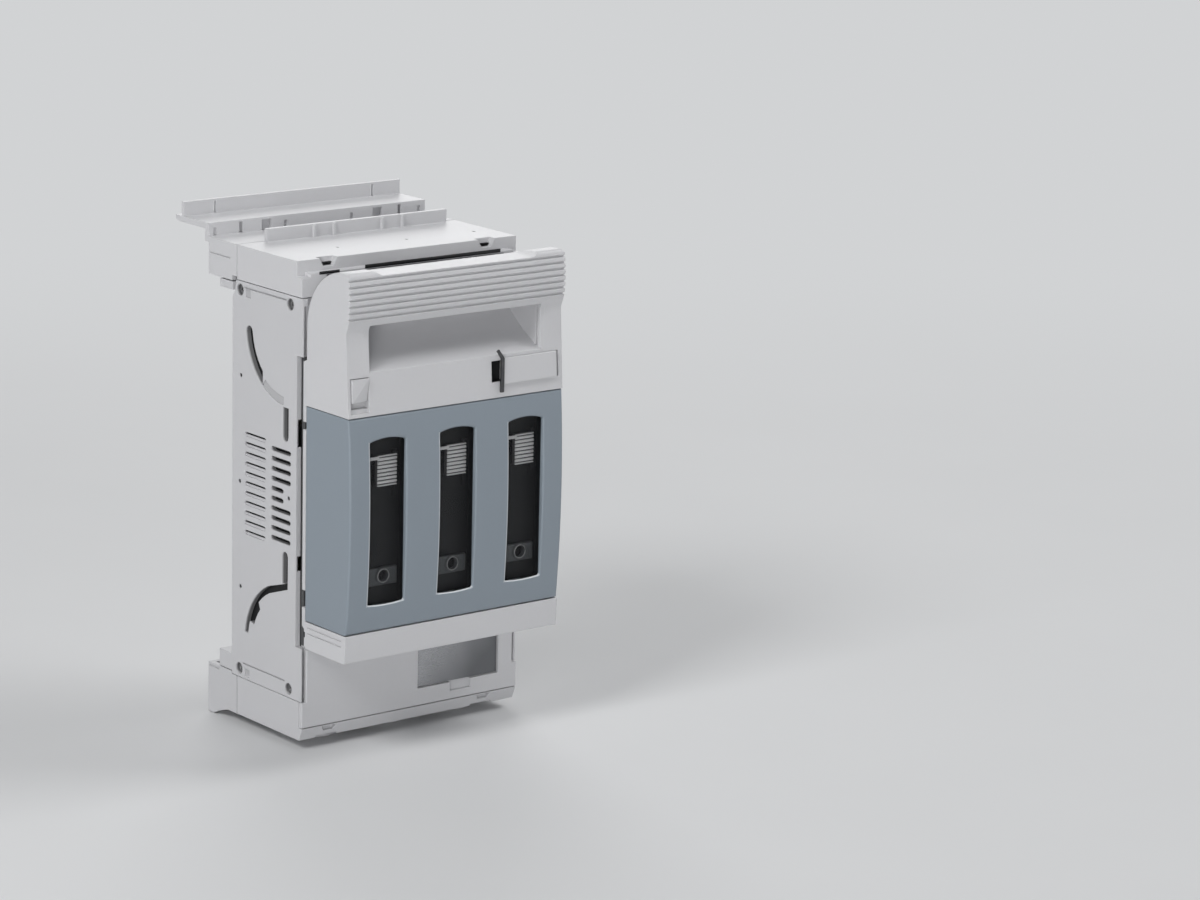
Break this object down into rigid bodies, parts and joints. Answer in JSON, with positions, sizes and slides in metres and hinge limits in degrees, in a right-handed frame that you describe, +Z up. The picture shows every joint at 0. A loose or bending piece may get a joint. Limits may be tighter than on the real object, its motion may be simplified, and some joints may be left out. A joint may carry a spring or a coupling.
{
  "type": "fuse switch disconnector",
  "caption": "Low-voltage fuse switch disconnector with a tilting front lid, fuse windows, a ribbed grip, cable outlets below and hooks at the back for a busbar system.",
  "frame": {"origin": "middle of the outline's width and depth, at the lowest edge", "axes": "+X to the right seen from the front, +Y to the back, +Z up, and the front faces -Y"},
  "size_m": [0.106, 0.1211, 0.2072],
  "materials": {
    "pale_plastic": "light grey glass-filled moulding, fine matt grain",
    "blue_plastic": "blue-grey moulding, satin",
    "dark_plastic": "near black moulding",
    "grey_plastic": "dark grey moulding, satin",
    "smoked_pane": "smoked clear pane",
    "silvered_copper": "silver-plated copper, satin",
    "zinc_steel": "zinc-plated steel",
    "label_silver": "bare silver label plate"
  },
  "bodies": {
    "base": {"base_frame": "pale_plastic", "bottom_cover": "pale_plastic", "bottom_rear_shroud": "pale_plastic", "busbar_hook_1": "silvered_copper", "busbar_hook_2": "silvered_copper", "busbar_hook_3": "silvered_copper", "front_panel": "pale_plastic", "hinge_pin_left": "zinc_steel", "hinge_pin_right": "zinc_steel", "label_plate": "label_silver", "left_side_plate": "pale_plastic", "lower_contact_1": "silvered_copper", "lower_contact_2": "silvered_copper", "lower_contact_3": "silvered_copper", "rear_cover": "pale_plastic", "right_side_plate": "pale_plastic", "side_screw_1": "zinc_steel", "side_screw_2": "zinc_steel", "side_screw_3": "zinc_steel", "side_screw_4": "zinc_steel", "side_screw_5": "zinc_steel", "side_screw_6": "zinc_steel", "side_screw_7": "zinc_steel", "side_screw_8": "zinc_steel", "terminal_bolt_1": "zinc_steel", "terminal_bolt_2": "zinc_steel", "terminal_bolt_3": "zinc_steel", "top_cover": "pale_plastic", "top_rear_shroud": "pale_plastic", "upper_contact_1": "silvered_copper", "upper_contact_2": "silvered_copper", "upper_contact_3": "silvered_copper"},
    "lid": {"lid_frame": "pale_plastic", "lid_cover": "blue_plastic", "window_pane_1": "smoked_pane", "window_pane_2": "smoked_pane", "window_pane_3": "smoked_pane", "fuse_carrier_1": "dark_plastic", "fuse_carrier_2": "dark_plastic", "fuse_carrier_3": "dark_plastic", "test_plate_1": "grey_plastic", "test_plate_2": "grey_plastic", "test_plate_3": "grey_plastic"},
    "lock": {"lock_slider": "pale_plastic", "lock_hasp": "zinc_steel"},
    "catch": {"lid_catch": "pale_plastic"},
    "fuse_catch_left": {"fuse_catch_1": "pale_plastic"},
    "fuse_catch_middle": {"fuse_catch_2": "pale_plastic"},
    "fuse_catch_right": {"fuse_catch_3": "pale_plastic"}
  },
  "joints": [
    {"name": "lid_tilt", "type": "hinge", "parent": "base", "child": "lid", "pos_m": [0, -0.03565, 0.0455], "axis": [1, 0, 0], "range_deg": [0, 90]},
    {"name": "lock_slide", "type": "slide", "parent": "lid", "child": "lock", "axis": [-1, 0, 0], "range_m": [0, 0.005]},
    {"name": "catch_slide", "type": "slide", "parent": "lid", "child": "catch", "axis": [0, 0, -1], "range_m": [0, 0.0026], "stiffness_N_per_m": 250},
    {"name": "fuse_release_left", "type": "slide", "parent": "lid", "child": "fuse_catch_left", "axis": [0, 0, -1], "range_m": [0, 0.004], "stiffness_N_per_m": 250},
    {"name": "fuse_release_middle", "type": "slide", "parent": "lid", "child": "fuse_catch_middle", "axis": [0, 0, -1], "range_m": [0, 0.004], "stiffness_N_per_m": 250},
    {"name": "fuse_release_right", "type": "slide", "parent": "lid", "child": "fuse_catch_right", "axis": [0, 0, -1], "range_m": [0, 0.004], "stiffness_N_per_m": 250}
  ]
}
